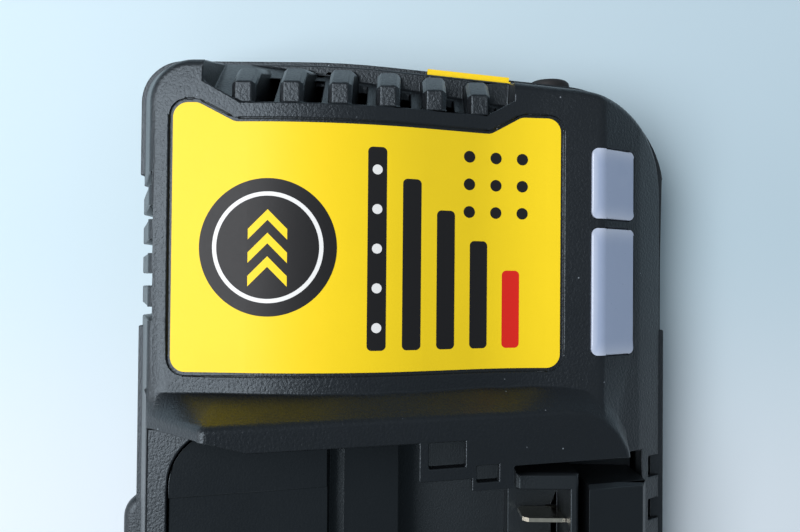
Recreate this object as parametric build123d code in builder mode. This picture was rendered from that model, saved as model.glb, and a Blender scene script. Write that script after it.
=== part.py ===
from build123d import *
from math import sqrt
import os

# Battery charger that lies on its feet. X runs to the charger's right, Y to its back and Z up.
# The origin is on the table, under the middle of the housing. All sizes are millimetres.

# ---- battery bay, on both sides of its middle line
bay_middle_x = -44.5
bay_half_width = 38.5
left_room = 6.5
bay_left_x, bay_right_x = bay_middle_x - bay_half_width, bay_middle_x + bay_half_width
left_x = bay_left_x - left_room

# ---- housing: plan at the parting between the two shells, and the lean of its walls (run over rise)
parting_height = 24.0
side_half_width = 89.5
side_bend_y, side_bend_radius = 14.5, 250.0
side_splay = 0.1
back_y = 70.2
front_y = -74.2
back_corner_radius = 10.5
front_corner_radius = 29.5
left_corner_radius = 15.0
right_lean = 0.22
left_lean = 0.12
back_lean = 0.352
wall = 2.5
shell_top = 85.0
reach = 120.0

# ---- cover: its face falls from the back to the front in an S, then breaks over a crease and a brow
crown_y, crown_height, crown_radius = 13.0, 59.5, 95.0
back_fall = 0.066
dip_y, dip_height, dip_radius = front_y + 44.7, 42.0, 60.0
crease_y, crease_height, crease_radius = front_y + 20.0, 40.4, 5.0
brow_y, brow_height, brow_radius = front_y + 7.6, 31.2, 9.0
brow_fall = 0.906
cover_edge_radius = 2.4

# ---- hood: the slab round the battery bay, which falls to the front and has a ramp at the back
hood_height = 60.5
hood_fall = 0.33
hood_back_y = 41.4
hood_ramp_fall = 1.0
hood_front_y = front_y + 11.1
hood_crest_x = bay_right_x + 2.9
hood_flank = 5.5
hood_corner_radius = 19.0
hood_edge_radius = 2.2
hood_plate = 3.6
ramp_step, ramp_step_count = 3.0, 6
slab_step, slab_step_count = 14.0, 5
corner_places = [0.0, 5.5, 10.5, 14.5, 17.5, 19.0]

# ---- the bay's plan, and the gap in the hood that the pack's rails pass through
bay_back_y = back_y - 16.8
bay_front_y = front_y + 6.6
bay_nose_y = front_y + 24.6
bay_corner_radius, bay_step_radius = 14.0, 1.5
entry_height = 57.2
guide_half_width = 35.4
neck_half_width = 26.3
narrow_neck_half_width = 23.25
contact_half_width = 28.7
neck_start_y = -6.6
narrow_neck_start_y = -19.4
contact_start_y = bay_nose_y + 19.4
sight_holes = [(32.4, -13.3, 6.2, 9.0), (27.3, -23.4, 4.0, 5.6)]
flare_start_y, flare_end_y = 32.0, 41.4
flare_depth = 3.0

# ---- side vent and its fins, back vent and its slots, front slots
vent_inner_x, vent_shoulder_x = side_half_width - 17.6, side_half_width - 12.4
vent_back_y, vent_front_y = 45.9, -31.6
vent_back_waist_y, vent_front_waist_y = 36.9, -23.4
vent_front_shoulder_x, vent_front_shoulder_y = side_half_width - 13.4, -30.8
vent_floor_height, vent_floor_pitch, vent_floor_lean = 44.15, 0.217, 1.38
vent_bottom_height = 30.0
fin_count, fin_pitch, fin_first_y, fin_width = 6, 11.55, 36.3, 6.0
fin_drop, fin_slope_run, fin_slope_rise = 1.0, 4.9, 7.0
fin_root = 1.5
fin_tail = 4.0
fin_chamfer = 1.1
fin_slot_width, fin_slot_length, fin_slot_x = 2.6, 16.0, side_half_width - 14.5
fin_slot_sill, fin_slot_headroom = 1.5, 6.5
back_slot_count, back_slot_pitch, back_slot_first_x, back_slot_width = 5, 8.15, 53.65, 3.4
back_slot_top_y, back_slot_lean = back_y - 12.5, 0.30
back_slot_reference_height = 56.4
scoop_room, scoop_depth, scoop_gap = 3.0, 8.0, 0.2
front_slot_count, front_slot_pitch, front_slot_width = 5, 11.75, 5.6
front_slot_depth = 4.1

# ---- label and status windows
label_back_y, label_front_y = 53.2, dip_y - 13.6
label_left_x, label_right_x = 7.3, vent_inner_x
label_waist_x = vent_inner_x - 4.7
label_vent_gap = 1.2
label_corner_radius = 3.6
label_margin = 0.9
label_recess = 0.7
label_thickness = 0.35
window_back_y, window_front_y = crease_y + 3.1, crease_y - 10.2
large_window_x = (bay_right_x + 16.4, side_half_width - 45.8)
small_window_x = (side_half_width - 43.6, side_half_width - 25.0)
window_corner_radius = 1.6
window_clearance = 0.15
window_proud = 0.5

# ---- base shell
foot_height = 2.0
floor_thickness = 2.6
rim_width = 1.3
base_lean = 0.16
base_edge_radius = 3.0
foot_radius, foot_recess, foot_inset_x, foot_inset_y = 7.0, 1.2, 23.0, 27.0
keyhole_spacing, keyhole_y = 100.0, 6.0
keyhole_head_radius, keyhole_slot_width, keyhole_slot_run = 4.75, 5.0, 9.0
floor_slot_count, floor_slot_pitch, floor_slot_width, floor_slot_length = 7, 7.0, 3.0, 26.0
floor_slot_middle = (30.0, -23.6)

# ---- cord gland in the right side of the base, and the lug on the back of the base
gland_y, gland_z = front_y + 29.6, 15.5
gland_radius, gland_flange_radius, gland_bore_radius = 4.6, 5.8, 3.1
gland_flange_thickness, gland_retainer_thickness = 3.9, 1.5
gland_proud, gland_length, gland_edge_radius = 4.1, 9.4, 1.5
lug_width, lug_height, lug_reach, lug_bottom = 27.0, 17.0, 6.0, 5.0
lug_corner_radius, lug_edge_radius = 7.0, 3.0

# ---- inside
board_thickness = 1.6
board_height = 11.0
screw_radius, screw_head_radius, screw_head_height = 1.4, 2.8, 1.8
screw_cross_length, screw_cross_width, screw_cross_depth = 3.2, 0.7, 0.6
pilot_radius = 1.45
boss_radius = 3.8
post_radius = 5.0
fit = 0.2
liner_gap = 0.3
liner_thickness = 2.4
liner_post_top = 12.0
liner_head_z = 8.0
housing_head_z = 14.0
housing_pilot_depth, board_pilot_depth = 7.0, 5.5
housing_screw_length, liner_screw_length, board_screw_length, clamp_screw_length = 16.0, 10.0, 6.5, 10.0

# ---- bay liner: tray, panel, well and stop block
liner_height, liner_fall = 39.5, 0.33
tray_front_y = 16.4
panel_start_y, panel_height, panel_rise, panel_fall = 12.4, 37.4, 2.2, 0.33
well_start_y, well_floor_z = -1.6, 20.0
well_wall_height = 14.0
liner_foot_z = 14.0
channel_half_width, channel_depth = 21.7, 0.7
stop_half_width, stop_back_y, stop_drop, stop_bevel = 22.2, bay_nose_y - 0.7, 0.5, 1.2
stop_front_room = 1.0

# ---- terminal block and blades; the first two offsets are the power blades
terminal_front_y = bay_nose_y + 2.0
terminal_back_y = terminal_front_y + 16.0
terminal_half_width, terminal_cavity_half_width = 25.5, 21.2
terminal_height, terminal_floor_z, terminal_wall, terminal_chamfer = 24.0, 27.0, 2.2, 0.8
blade_offsets = [12.0, -12.0, 4.0, -4.0]
blade_thickness, blade_height, blade_nose = 1.0, 11.5, 1.5
power_blade_length, signal_blade_length = 11.0, 9.0
blade_pin_y, blade_pin_width, blade_pin_bottom = terminal_front_y + 4.0, 2.4, 9.6

# ---- side label, lights and cord clamp
side_label_front_y, side_label_length = -31.6, 23.0
side_label_rise, side_label_drop, label_gap = 5.0, 3.0, 0.1
light_y, light_height, light_gap = crease_y - 1.9, 15.4, 0.3
large_light_x = [large_window_x[0] + 6.1, sum(large_window_x) / 2 - 0.05, large_window_x[1] - 6.2]
small_light_x = [small_window_x[0] + 6.1]
stem_radius = 1.8
clamp_x = side_half_width - 16.5
clamp_width, clamp_height, clamp_length, clamp_screw_reach = 7.0, 6.0, 18.0, 6.0

# ---- circuit board: an L round the bay, with one arm under the terminal block
board_right_x, board_left_x = side_half_width - 25.5, bay_left_x + 13.0
board_step_x, board_step_y = bay_right_x + 10.0, terminal_back_y + 8.0
board_back_y, board_front_y = back_y - 15.0, front_y + 15.6
board_screw_inset = 5.0

# ---- fixings
housing_screw_places = [
    (side_half_width - 17.0, back_y - 16.0),
    (side_half_width - 20.0, front_y + 14.6),
    (left_x + 11.0, back_y - 11.0),
    (left_x + 9.0, front_y + 12.6),
]
liner_screw_reach = bay_half_width - 6.0
liner_screw_places = [
    (bay_middle_x + liner_screw_reach, 28.4),
    (bay_middle_x - liner_screw_reach, 28.4),
    (bay_middle_x - liner_screw_reach, -13.6),
    (bay_middle_x + liner_screw_reach, -13.6),
]
board_screw_places = [
    (board_step_x + board_screw_inset, board_back_y - board_screw_inset),
    (board_right_x - board_screw_inset, board_back_y - board_screw_inset),
    (board_step_x + board_screw_inset, board_front_y + board_screw_inset),
    (board_right_x - board_screw_inset, board_front_y + board_screw_inset),
    (board_left_x + board_screw_inset, board_step_y - board_screw_inset),
]
foot_places = [
    (sign * (side_half_width - foot_inset_x), y)
    for sign in (1, -1)
    for y in (back_y - foot_inset_y, front_y + foot_inset_y)
]

os.makedirs("parts", exist_ok=True)


def side_x(y):
    """Distance from the middle to the right side at the parting height: straight, then drawn in."""
    return side_half_width - side_splay * max(0.0, side_bend_y - y)


def cover_points(drop):
    """Corners of the cover's side view, from the front to the back, lowered by a distance."""
    foot = (-reach, brow_height - brow_fall * (reach + brow_y) - drop)
    brow = (brow_y, brow_height - drop)
    crease = (crease_y, crease_height - drop)
    dip = (dip_y, dip_height - drop)
    crown = (crown_y, crown_height - drop)
    rear = (reach, crown_height - back_fall * (reach - crown_y) - drop)
    return [foot, brow, crease, dip, crown, rear]


def cover_radii():
    return [brow_radius, crease_radius, dip_radius, crown_radius]


def cover_z(y):
    """Height of the cover's face at a place along the charger."""
    with BuildLine(Plane.YZ) as face_line:
        FilletPolyline(cover_points(0), radius=cover_radii())
    upright = Edge.make_line((0, y, -reach), (0, y, reach))
    return face_line.line.intersect(upright)[0].Z


def hood_z(y):
    """Height of the hood's top: the slab's fall, and the ramp behind it."""
    slab = hood_height + hood_fall * y
    ramp = hood_height + hood_fall * hood_back_y - hood_ramp_fall * (y - hood_back_y)
    return min(slab, ramp)


def crest_x(y):
    """The hood's right crest, straight until it rounds in to the front."""
    into_corner = max(0.0, hood_front_y + hood_corner_radius - y)
    across = sqrt(max(0.0, hood_corner_radius**2 - into_corner**2))
    return hood_crest_x - hood_corner_radius + across


def cover_prism(drop):
    """Everything under the cover's face, lowered by a distance."""
    points = cover_points(drop)
    with BuildPart() as prism:
        with BuildSketch(Plane.YZ.offset(-reach)):
            with BuildLine():
                FilletPolyline(points, radius=cover_radii())
                Polyline(points[-1], (reach, -reach), (-reach, -reach), points[0])
            make_face()
        extrude(amount=2 * reach)
    return prism.part


def cover_layer(top_drop, bottom_drop):
    """A sheet that follows the cover's face."""
    with BuildPart() as layer:
        add(cover_prism(top_drop))
        add(cover_prism(bottom_drop), mode=Mode.SUBTRACT)
    return layer.part


def hood_prism(drop):
    """Everything under the hood's slab and its back ramp, lowered by a distance."""
    ridge = hood_height + hood_fall * hood_back_y - drop
    with BuildPart() as prism:
        with BuildSketch(Plane.YZ.offset(-reach)):
            Polygon(
                (-reach, hood_height - hood_fall * reach - drop),
                (hood_back_y, ridge),
                (reach, ridge - hood_ramp_fall * (reach - hood_back_y)),
                (reach, -reach),
                (-reach, -reach),
                align=None,
            )
        extrude(amount=2 * reach)
    return prism.part


def plan_outline(height, inset=0.0):
    """Outline of the upper shell at a height, moved in by a wall."""
    rise = height - parting_height
    front = front_y + inset
    back = back_y - back_lean * rise - inset
    left = left_x + left_lean * rise + inset
    right_shift = right_lean * rise + inset
    corners = [
        (left, front),
        (side_x(front) - right_shift, front),
        (side_half_width - right_shift, side_bend_y),
        (side_half_width - right_shift, back),
        (left, back),
    ]
    radii = [
        left_corner_radius - inset,
        front_corner_radius - inset,
        side_bend_radius - inset,
        back_corner_radius - inset,
        left_corner_radius - inset,
    ]
    with BuildSketch(Plane.XY.offset(height)) as outline:
        with BuildLine():
            FilletPolyline(corners, radius=radii, close=True)
        make_face()
    return outline.sketch


def base_outline(height, inset=0.0):
    """Outline of the base shell, whose rim stands out past the upper shell."""
    move = base_lean * (parting_height - height) + inset - rim_width
    left, front, back = left_x + move, front_y + move, back_y - move
    corners = [
        (left, front),
        (side_x(front) - move, front),
        (side_half_width - move, side_bend_y),
        (side_half_width - move, back),
        (left, back),
    ]
    radii = [
        left_corner_radius - move,
        front_corner_radius - move,
        side_bend_radius - move,
        back_corner_radius - move,
        left_corner_radius - move,
    ]
    with BuildSketch(Plane.XY.offset(height)) as outline:
        with BuildLine():
            FilletPolyline(corners, radius=radii, close=True)
        make_face()
    return outline.sketch


def gland_plane():
    """Where the cord leaves the base: on its right wall, facing outwards."""
    wall_x = side_x(gland_y) + rim_width - base_lean * (parting_height - gland_z)
    return Plane(origin=(wall_x, gland_y, gland_z), x_dir=(0, 1, 0), z_dir=(1, 0, 0))


def shell_envelope(inset=0.0):
    """The upper shell's walls as a solid block that leans in to the top."""
    with BuildPart() as block:
        add(plan_outline(parting_height, inset))
        add(plan_outline(shell_top, inset))
        loft(ruled=True)
    return block.part


def outer_cover_edges(part):
    """Edges where the cover's face meets the walls."""
    chosen = ShapeList()
    for edge in part.edges():
        middle = edge.position_at(0.5)
        runs_across = edge.geom_type == GeomType.LINE and abs(edge.tangent_at(0.5).X) > 0.999
        back_wall_y = back_y - back_lean * (middle.Z - parting_height)
        in_face = runs_across and middle.Y < back_wall_y - 1
        on_face = abs(middle.Z - cover_z(middle.Y)) < 0.1
        if on_face and middle.Z > parting_height + 0.5 and not in_face:
            chosen.append(edge)
    return chosen


def vent_pocket(grow=0.0):
    """Space cut out of the right side: its plan, and a leaning floor."""
    inner = vent_inner_x - grow
    shoulder = vent_shoulder_x - grow
    floor_at_middle = vent_floor_height - grow * vent_floor_lean
    with BuildPart() as pocket:
        with BuildSketch(Plane.XY.offset(vent_bottom_height - grow)):
            Polygon(
                (reach, vent_back_y + grow),
                (shoulder, vent_back_y + grow),
                (inner, vent_back_waist_y + grow),
                (inner, vent_front_waist_y - grow),
                (vent_front_shoulder_x - grow, vent_front_shoulder_y - grow),
                (reach, vent_front_y - grow),
                align=None,
            )
        extrude(amount=reach)
        # the floor falls to the front and to the right
        for y in (reach, -reach):
            floor_z = floor_at_middle + vent_floor_pitch * y
            with BuildSketch(Plane.XZ.offset(-y)):
                Polygon(
                    (0, floor_z + vent_floor_lean * vent_inner_x),
                    (reach, floor_z - vent_floor_lean * (reach - vent_inner_x)),
                    (reach, -2 * reach),
                    (0, -2 * reach),
                    align=None,
                )
        loft(mode=Mode.SUBTRACT, ruled=True)
    return pocket.part


def label_outline(grow=0.0):
    """The label's plan, with the step that leaves room for the side vent."""
    back, front = label_back_y + grow, label_front_y - grow
    left, right = label_left_x - grow, label_right_x + grow
    waist = label_waist_x + grow
    points = [
        (left, back),
        (right, back),
        (right, vent_back_y + label_vent_gap),
        (waist, vent_back_waist_y + label_vent_gap),
        (waist, vent_front_waist_y - label_vent_gap),
        (right, vent_front_y - label_vent_gap),
        (right, front),
        (left, front),
    ]
    with BuildSketch() as outline:
        with BuildLine():
            FilletPolyline(points, radius=label_corner_radius + grow / 2, close=True)
        make_face()
    return outline.sketch


def window_outline(span, shrink=0.0):
    """Plan of a status window."""
    low_x, high_x = span
    with BuildSketch() as outline:
        with Locations(((low_x + high_x) / 2, (window_back_y + window_front_y) / 2)):
            RectangleRounded(
                high_x - low_x - 2 * shrink,
                window_back_y - window_front_y - 2 * shrink,
                window_corner_radius,
            )
    return outline.sketch


# ---- upper housing: cover, then hood, then everything cut into them
with BuildPart() as cover_body:
    add(shell_envelope())
    add(cover_prism(0), mode=Mode.INTERSECT)
    fillet(outer_cover_edges(cover_body.part), radius=cover_edge_radius)


def is_hood_edge(edge):
    """The hood's crest, ridge and left edge."""
    middle = edge.position_at(0.5)
    above_front = middle.Z > hood_z(hood_front_y) - 1.5
    on_top = abs(middle.Z - hood_z(middle.Y)) < 0.3
    near_crest = abs(middle.X - crest_x(middle.Y)) < 0.3
    in_corner = crest_x(hood_front_y) < middle.X < hood_crest_x and middle.Y < corner_start_y
    on_ridge = abs(middle.Y - hood_back_y) < 0.3
    on_left = middle.X < bay_middle_x - guide_half_width and abs(middle.Z - hood_z(middle.Y)) < 1.5
    return above_front and (on_left or (on_top and (near_crest or in_corner or on_ridge)))


corner_start_y = hood_front_y + hood_corner_radius
hood_stations = [back_y]
hood_stations += [hood_back_y + ramp_step * index for index in reversed(range(ramp_step_count + 1))]
hood_stations += [hood_back_y - slab_step * (index + 1) for index in range(slab_step_count)]
hood_stations += [corner_start_y - place for place in corner_places]

with BuildPart() as hood_body:
    for y in hood_stations:
        top = hood_z(y)
        crest = crest_x(y)
        root_drop = max(top - cover_z(y), 1.0)
        foot_x = crest + hood_flank * 1.4
        foot_z = top - root_drop * 1.4
        with BuildSketch(Plane.XZ.offset(-y)):
            Polygon(
                (-reach, top - shell_top / 2),
                (-reach, top),
                (crest, top),
                (foot_x, foot_z),
                (foot_x, top - shell_top / 2),
                align=None,
            )
    loft(ruled=True)
    add(shell_envelope(), mode=Mode.INTERSECT)
    fillet(hood_body.edges().filter_by(is_hood_edge), radius=hood_edge_radius)


def bay_plan(grow=0.0):
    """Plan of the hole that takes the bay liner."""
    half = bay_half_width + grow
    nose = contact_half_width + grow
    with BuildSketch() as plan:
        with BuildLine():
            FilletPolyline(
                (bay_middle_x - nose, bay_front_y - grow),
                (bay_middle_x + nose, bay_front_y - grow),
                (bay_middle_x + nose, bay_nose_y - grow),
                (bay_middle_x + half, bay_nose_y - grow),
                (bay_middle_x + half, bay_back_y + grow),
                (bay_middle_x - half, bay_back_y + grow),
                (bay_middle_x - half, bay_nose_y - grow),
                (bay_middle_x - nose, bay_nose_y - grow),
                radius=4 * [bay_step_radius] + 2 * [bay_corner_radius + grow] + 2 * [bay_step_radius],
                close=True,
            )
        make_face()
    return plan.sketch


def bay_hole(grow=0.0):
    """The hole under the hood's plate."""
    with BuildPart() as hole:
        add(bay_plan(grow))
        extrude(amount=shell_top)
        add(hood_prism(hood_plate), mode=Mode.INTERSECT)
    return hole.part


def rail_opening():
    """Gap in the hood's plate that the pack's rails pass through."""
    halves = [
        (contact_half_width, bay_front_y),
        (contact_half_width, contact_start_y),
        (narrow_neck_half_width, contact_start_y),
        (narrow_neck_half_width, narrow_neck_start_y),
        (neck_half_width, narrow_neck_start_y),
        (neck_half_width, neck_start_y),
        (guide_half_width, neck_start_y),
        (guide_half_width, flare_start_y),
        (guide_half_width + flare_depth, flare_end_y),
        (guide_half_width + flare_depth, reach),
    ]
    right = [(bay_middle_x + half, y) for half, y in halves]
    left = [(bay_middle_x - half, y) for half, y in reversed(halves)]
    with BuildPart() as opening:
        with BuildSketch(Plane.XY.offset(parting_height)):
            Polygon(*right, *left, align=None)
            with Locations((bay_middle_x, hood_back_y)):
                Rectangle(
                    2 * reach, 2 * reach, align=(Align.CENTER, Align.MIN), mode=Mode.SUBTRACT
                )
        extrude(amount=reach)
        with BuildSketch(Plane.XY.offset(entry_height)):
            Polygon(*right, *left, align=None)
        extrude(amount=reach)
    return opening.part


def back_slots(grow=0.0):
    """Slots in the back wall; the walls of a bigger set keep the core off them."""
    top_y = back_slot_top_y - grow
    low_y = top_y + back_slot_lean * (back_slot_reference_height + reach)
    with BuildPart() as slots:
        for index in range(back_slot_count):
            x = back_slot_first_x - index * back_slot_pitch
            with BuildSketch(Plane.YZ.offset(x - back_slot_width / 2 - grow)):
                Polygon(
                    (top_y - back_slot_lean * (shell_top - back_slot_reference_height), shell_top),
                    (reach * 2, shell_top),
                    (reach * 2, -reach),
                    (low_y, -reach),
                    align=None,
                )
            extrude(amount=back_slot_width + 2 * grow)
    return slots.part


def front_slots():
    """Blind slots in the front wall, which leave the front fins between them."""
    with BuildPart() as slots:
        for index in range(front_slot_count):
            x = bay_middle_x + front_slot_pitch * (index - (front_slot_count - 1) / 2)
            with Locations((x, front_y + front_slot_depth, parting_height)):
                Box(
                    front_slot_width,
                    reach,
                    reach,
                    align=(Align.CENTER, Align.MAX, Align.MIN),
                )
    return slots.part


def side_fin(y):
    """One fin of the side vent."""
    top = cover_z(y) - fin_drop
    sloped_x = vent_shoulder_x + fin_slope_run
    sloped_z = top - fin_slope_rise
    low_z = vent_bottom_height - fin_tail
    low_x = sloped_x + (sloped_z - low_z) * right_lean
    with BuildPart() as fin:
        with BuildSketch(Plane.XZ.offset(-y - fin_width / 2)):
            Polygon(
                (vent_inner_x - fin_root, top),
                (vent_shoulder_x, top),
                (sloped_x, sloped_z),
                (low_x, low_z),
                (vent_inner_x - fin_root, low_z),
                align=None,
            )
        extrude(amount=fin_width)
        outer = fin.edges().filter_by(lambda edge: edge.center().X > vent_inner_x)
        sides = outer.filter_by(lambda edge: abs(edge.tangent_at(0.5).Y) < 0.1)
        upper = sides.filter_by(lambda edge: edge.center().Z > low_z + 1)
        chamfer(upper, length=fin_chamfer)
    return fin.part


with BuildPart() as core:
    add(shell_envelope(wall))
    add(cover_prism(wall), mode=Mode.INTERSECT)
    # the walls round the bay stay thick
    with Locations((bay_right_x + wall, bay_back_y + wall, 0)):
        Box(2 * reach, 2 * reach, reach, align=(Align.MAX, Align.MAX, Align.MIN), mode=Mode.SUBTRACT)
    add(vent_pocket(wall), mode=Mode.SUBTRACT)
    add(back_slots(wall), mode=Mode.SUBTRACT)
    # bosses for the housing screws
    for x, y in housing_screw_places:
        with Locations((x, y, 0)):
            Cylinder(
                boss_radius,
                reach,
                align=(Align.CENTER, Align.CENTER, Align.MIN),
                mode=Mode.SUBTRACT,
            )


with BuildPart() as upper_housing:
    add(cover_body.part)
    add(hood_body.part)
    add(core.part, mode=Mode.SUBTRACT)
    add(bay_hole(), mode=Mode.SUBTRACT)
    add(rail_opening(), mode=Mode.SUBTRACT)
    # recess for the label
    with BuildPart(mode=Mode.PRIVATE) as label_pocket:
        add(label_outline(label_margin))
        extrude(amount=shell_top)
        add(cover_prism(label_recess), mode=Mode.SUBTRACT)
    add(label_pocket.part, mode=Mode.SUBTRACT)
    # openings for the status windows
    for span in (large_window_x, small_window_x):
        add(window_outline(span))
        extrude(amount=shell_top, mode=Mode.SUBTRACT)
    # side vent: its pocket, the fins in it and a slot beside each fin
    add(vent_pocket(), mode=Mode.SUBTRACT)
    fin_places = [fin_first_y - index * fin_pitch for index in range(fin_count)]
    for y in fin_places:
        add(side_fin(y))
    for y in fin_places:
        with Locations((fin_slot_x, y - fin_width / 2, vent_bottom_height + fin_slot_sill)):
            Box(
                fin_slot_length,
                fin_slot_width,
                cover_z(y) - vent_bottom_height - fin_slot_sill - fin_slot_headroom,
                align=(Align.CENTER, Align.MAX, Align.MIN),
                mode=Mode.SUBTRACT,
            )
    add(back_slots(), mode=Mode.SUBTRACT)
    add(front_slots(), mode=Mode.SUBTRACT)
    # pilot holes for the housing screws
    for x, y in housing_screw_places:
        with Locations((x, y, parting_height)):
            Cylinder(
                pilot_radius,
                housing_pilot_depth,
                align=(Align.CENTER, Align.CENTER, Align.MIN),
                mode=Mode.SUBTRACT,
            )
    # sight holes in the rails
    for x, y, length_x, length_y in sight_holes:
        for sign in (1, -1):
            with Locations((bay_middle_x + sign * x, y, parting_height)):
                Box(
                    length_x,
                    length_y,
                    reach,
                    align=(Align.CENTER, Align.CENTER, Align.MIN),
                    mode=Mode.SUBTRACT,
                )
upper_housing.part.label = "upper_housing"
export_step(upper_housing.part, "parts/upper_housing.step")

# ---- lower housing
with BuildPart() as lower_housing:
    add(base_outline(foot_height))
    add(base_outline(parting_height))
    loft(ruled=True)
    rim = lower_housing.edges().group_by(Axis.Z)[0]
    fillet(rim, radius=base_edge_radius)
    # the lug on the back wall
    with BuildPart(mode=Mode.PRIVATE) as lug:
        with Locations((bay_middle_x, back_y + lug_reach - lug_width / 2, lug_bottom)):
            Box(lug_width, lug_width, lug_height, align=(Align.CENTER, Align.CENTER, Align.MIN))
        upright = lug.edges().filter_by(Axis.Z)
        fillet(upright, radius=lug_corner_radius)
        fillet(lug.edges().filter_by(Axis.Z, reverse=True), radius=lug_edge_radius)
        with Locations((bay_middle_x, back_y - 2 * wall, 0)):
            Box(reach, reach, reach, align=(Align.CENTER, Align.MAX, Align.CENTER), mode=Mode.SUBTRACT)
    add(lug.part)
    # hollow
    with BuildPart(mode=Mode.PRIVATE) as hollow:
        add(base_outline(foot_height + floor_thickness, wall + rim_width))
        add(base_outline(parting_height + 1, wall + rim_width))
        loft(ruled=True)
        add(back_slots(wall), mode=Mode.SUBTRACT)
        for x, y in housing_screw_places:
            with Locations((x, y, 0)):
                Cylinder(post_radius, reach, mode=Mode.SUBTRACT)
    add(hollow.part, mode=Mode.SUBTRACT)
    add(back_slots(), mode=Mode.SUBTRACT)
    # scoops in the rim, one under the back slots and one opposite it
    slots_middle_x = back_slot_first_x - back_slot_pitch * (back_slot_count - 1) / 2
    for y, side in ((back_y + scoop_gap, Align.MIN), (front_y - scoop_gap, Align.MAX)):
        with Locations((slots_middle_x, y, parting_height)):
            Box(
                back_slot_pitch * (back_slot_count - 1) + back_slot_width + 2 * scoop_room,
                scoop_depth,
                scoop_depth,
                align=(Align.CENTER, side, Align.MAX),
                mode=Mode.SUBTRACT,
            )
    # posts under the liner and the board
    for x, y in liner_screw_places:
        with Locations((x, y, foot_height)):
            Cylinder(
                post_radius,
                liner_post_top - foot_height,
                align=(Align.CENTER, Align.CENTER, Align.MIN),
            )
    for x, y in board_screw_places:
        with Locations((x, y, foot_height)):
            Cylinder(
                boss_radius,
                board_height - foot_height,
                align=(Align.CENTER, Align.CENTER, Align.MIN),
            )
    for x, y in board_screw_places:
        with Locations((x, y, board_height)):
            Cylinder(
                pilot_radius,
                board_pilot_depth,
                align=(Align.CENTER, Align.CENTER, Align.MAX),
                mode=Mode.SUBTRACT,
            )
    # screw holes with deep pockets for their heads
    for places, head_z in ((housing_screw_places, housing_head_z), (liner_screw_places, liner_head_z)):
        for x, y in places:
            with Locations((x, y, 0)):
                Cylinder(
                    screw_head_radius + fit,
                    head_z,
                    align=(Align.CENTER, Align.CENTER, Align.MIN),
                    mode=Mode.SUBTRACT,
                )
                Cylinder(
                    screw_radius + fit,
                    reach,
                    align=(Align.CENTER, Align.CENTER, Align.MIN),
                    mode=Mode.SUBTRACT,
                )
    # recesses for the feet
    for x, y in foot_places:
        with Locations((x, y, foot_height + foot_recess)):
            Cylinder(
                foot_radius + fit,
                reach,
                align=(Align.CENTER, Align.CENTER, Align.MAX),
                mode=Mode.SUBTRACT,
            )
    # keyholes for hanging
    for sign in (1, -1):
        with Locations((sign * keyhole_spacing / 2, keyhole_y, foot_height)):
            Cylinder(keyhole_head_radius, 3 * floor_thickness, mode=Mode.SUBTRACT)
        with Locations((sign * keyhole_spacing / 2, keyhole_y + keyhole_slot_run / 2, foot_height)):
            Box(keyhole_slot_width, keyhole_slot_run, 3 * floor_thickness, mode=Mode.SUBTRACT)
        with Locations((sign * keyhole_spacing / 2, keyhole_y + keyhole_slot_run, foot_height)):
            Cylinder(keyhole_slot_width / 2, 3 * floor_thickness, mode=Mode.SUBTRACT)
    # air slots in the floor
    with BuildSketch(Plane.XY):
        with Locations(floor_slot_middle):
            with GridLocations(floor_slot_pitch, 1, floor_slot_count, 1):
                SlotOverall(floor_slot_length, floor_slot_width, rotation=90)
    extrude(amount=foot_height + 2 * floor_thickness, mode=Mode.SUBTRACT)
    # saddle for the cord behind its gland
    saddle_z = foot_height + floor_thickness / 2 + foot_recess
    with Locations((clamp_x, gland_y, saddle_z)):
        Box(
            clamp_width,
            clamp_length,
            gland_z - saddle_z,
            align=(Align.CENTER, Align.CENTER, Align.MIN),
        )
    for sign in (1, -1):
        with Locations((clamp_x, gland_y + sign * clamp_screw_reach, gland_z)):
            Cylinder(
                pilot_radius,
                clamp_screw_length - 1,
                align=(Align.CENTER, Align.CENTER, Align.MAX),
                mode=Mode.SUBTRACT,
            )
    with Locations(Location((clamp_x, gland_y, gland_z), (0, 90, 0))):
        Cylinder(gland_bore_radius, 2 * clamp_width, mode=Mode.SUBTRACT)
    # hole for the cord gland
    flange_room = gland_flange_radius + fit
    inner_face = gland_proud - gland_length + gland_retainer_thickness
    with Locations(gland_plane()):
        Cylinder(gland_radius, 2 * gland_length, mode=Mode.SUBTRACT)
        Cylinder(
            flange_room,
            2 * wall,
            align=(Align.CENTER, Align.CENTER, Align.MIN),
            mode=Mode.SUBTRACT,
        )
    with Locations(gland_plane().offset(inner_face)):
        Cylinder(
            flange_room,
            2 * wall,
            align=(Align.CENTER, Align.CENTER, Align.MAX),
            mode=Mode.SUBTRACT,
        )
lower_housing.part.label = "lower_housing"
export_step(lower_housing.part, "parts/lower_housing.step")


# ---- liner of the battery bay
def liner_profile(drop):
    """Side view of the liner's top, lowered by a distance, from the back to the front."""
    back, front = bay_back_y - liner_gap, bay_front_y + liner_gap
    panel_front_height = panel_height + panel_rise - panel_fall * (panel_start_y - well_start_y)
    return [
        (back + drop, liner_height + liner_fall * back - drop),
        (tray_front_y + drop, liner_height + liner_fall * tray_front_y - drop),
        (tray_front_y + drop, panel_height - drop),
        (panel_start_y - drop, panel_height - drop),
        (panel_start_y - drop, panel_height + panel_rise - drop),
        (well_start_y + drop, panel_front_height - drop),
        (well_start_y + drop, well_floor_z - drop),
        (front, well_floor_z - drop),
    ]


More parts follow.
